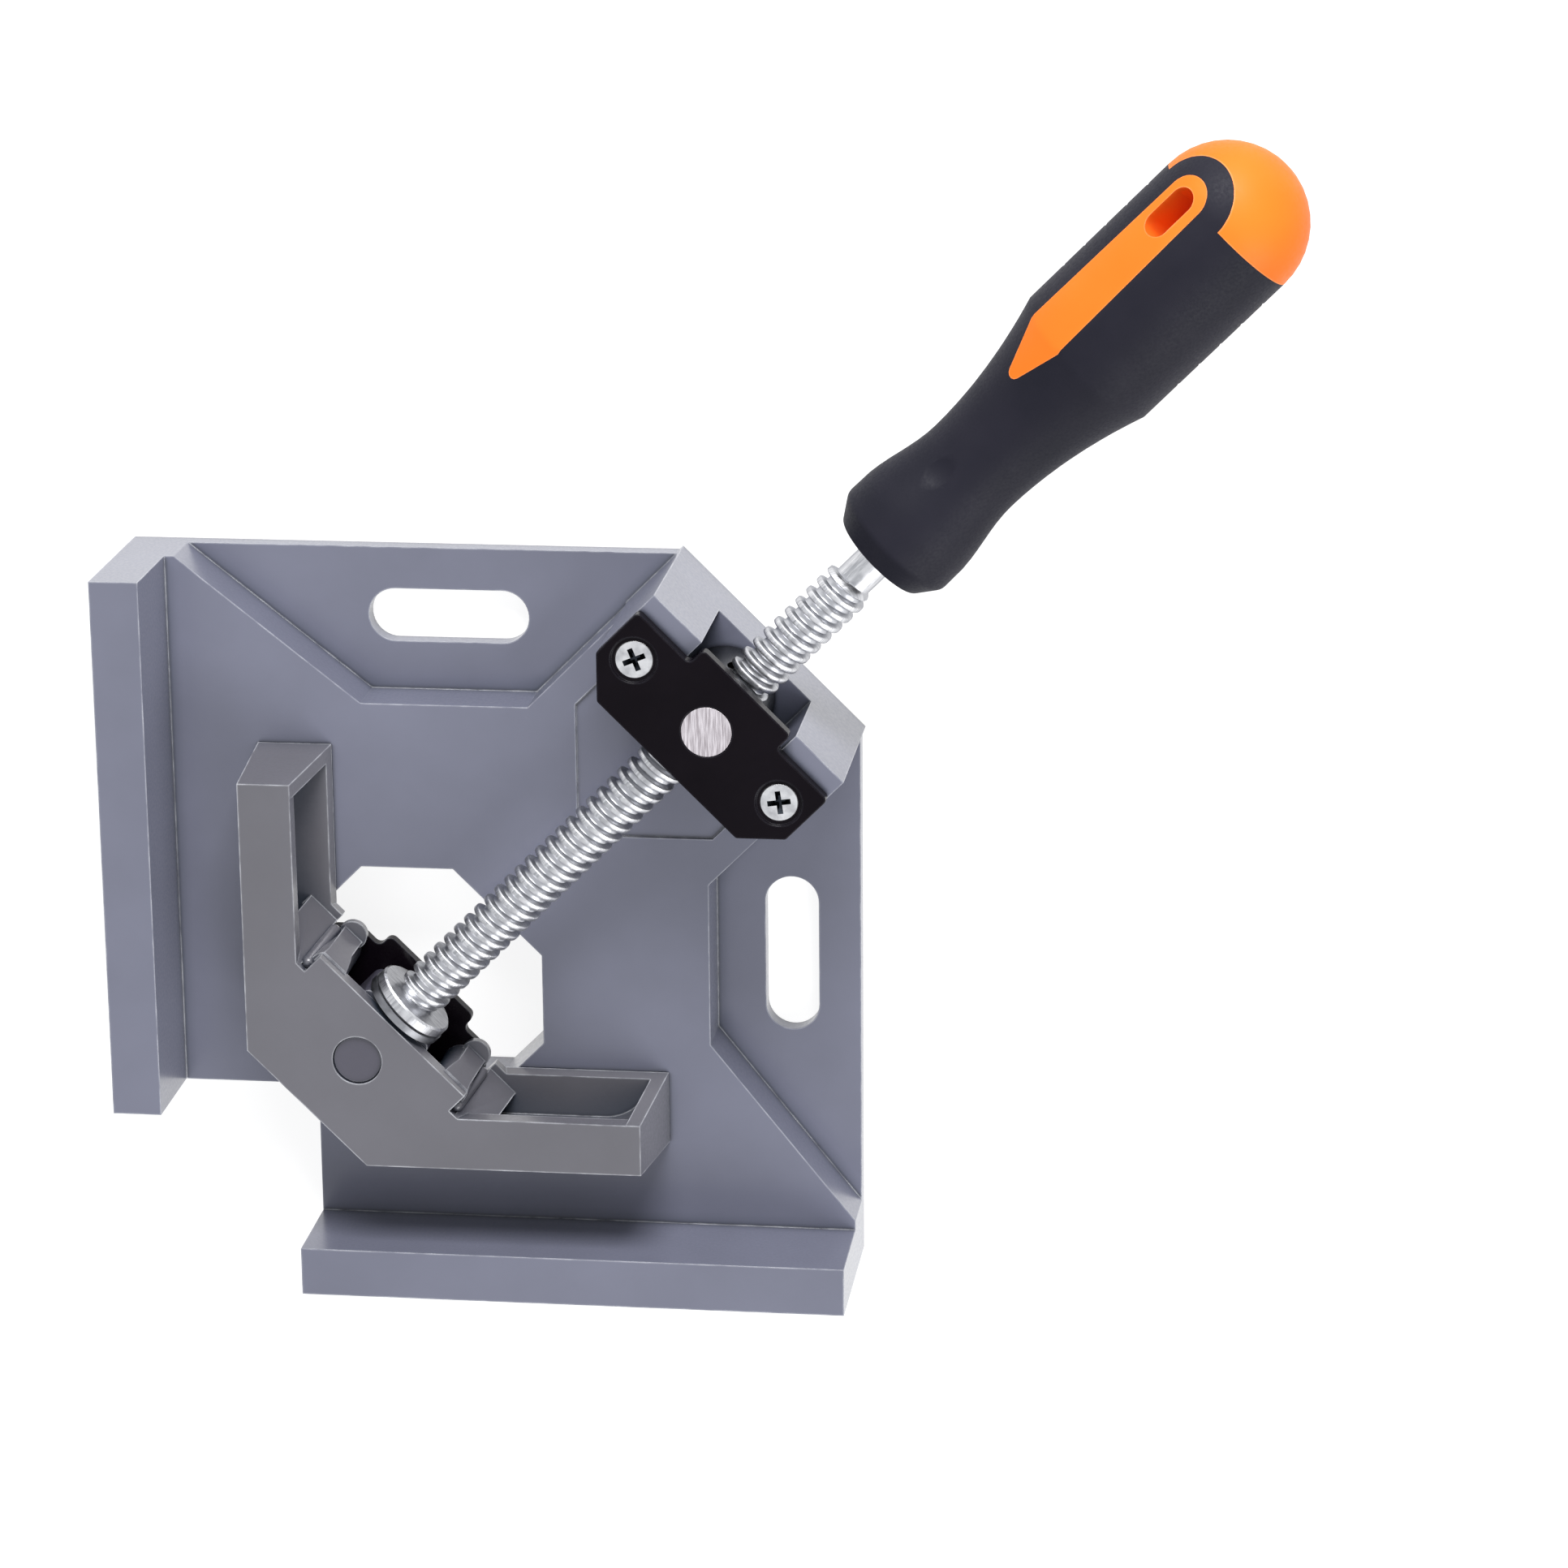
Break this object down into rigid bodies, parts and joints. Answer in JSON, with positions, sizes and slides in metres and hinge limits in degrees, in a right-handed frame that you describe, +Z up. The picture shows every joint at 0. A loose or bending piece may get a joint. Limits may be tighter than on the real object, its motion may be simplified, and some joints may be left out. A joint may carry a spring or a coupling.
{
  "type": "corner clamp",
  "caption": "Right-angle corner clamp: cast base with two fences, a swivelling L-shaped jaw on a lead screw through a pivoting nut, and a moulded two-colour handle.",
  "frame": {"origin": "on the bench plane, on the pivot axis of the nut", "axes": "+Z up from the bench; +X and +Y along the two fences, away from the clamped corner; the screw axis lies over the diagonal X = Y, with the handle on the plus side"},
  "size_m": [0.239, 0.239, 0.0441],
  "materials": {
    "casting_grey": "die cast, satin grey paint, edges rubbed bright",
    "cover_black": "gloss black coating",
    "zinc_steel": "bright zinc plate",
    "bright_steel": "turned, bare",
    "spring_steel": "oiled black",
    "handle_orange": "moulded, semi-gloss",
    "handle_black": "soft over-mould, satin"
  },
  "bodies": {
    "base": {"base_casting": "casting_grey", "nut_cover_plate": "cover_black", "nut_cover_screw_left": "zinc_steel", "nut_cover_screw_right": "zinc_steel"},
    "nut": {"swivel_nut": "bright_steel"},
    "jaw_block": {"jaw_swivel_block": "casting_grey"},
    "screw": {"lead_screw": "zinc_steel", "thrust_washer": "zinc_steel", "retaining_ring": "spring_steel", "handle_core": "handle_orange", "handle_grip": "handle_black"},
    "jaw": {"jaw_casting": "casting_grey", "jaw_cover_plate": "cover_black", "jaw_cover_screw_left": "zinc_steel", "jaw_cover_screw_right": "zinc_steel"}
  },
  "joints": [
    {"name": "nut_swivel", "type": "hinge", "parent": "base", "child": "nut", "pos_m": [0, 0, 0.02825], "axis": [0, 0, 1], "range_deg": [-4, 4]},
    {"name": "jaw_slide", "type": "slide", "parent": "nut", "child": "jaw_block", "axis": [-0.7071, -0.7071, 0], "range_m": [-0.0707, 0.014]},
    {"name": "screw_turn", "type": "hinge", "parent": "jaw_block", "child": "screw", "pos_m": [0, 0, 0.02825], "axis": [-0.7071, -0.7071, 0], "range_deg": [-8490, 1690]},
    {"name": "jaw_swivel", "type": "hinge", "parent": "jaw_block", "child": "jaw", "pos_m": [-0.0733, -0.0733, 0.02825], "axis": [0, 0, 1], "range_deg": [-5, 5]}
  ],
  "couplings": [
    {"joint": "screw_turn", "follows": "jaw_slide", "rad_per_m": 2094.4}
  ]
}
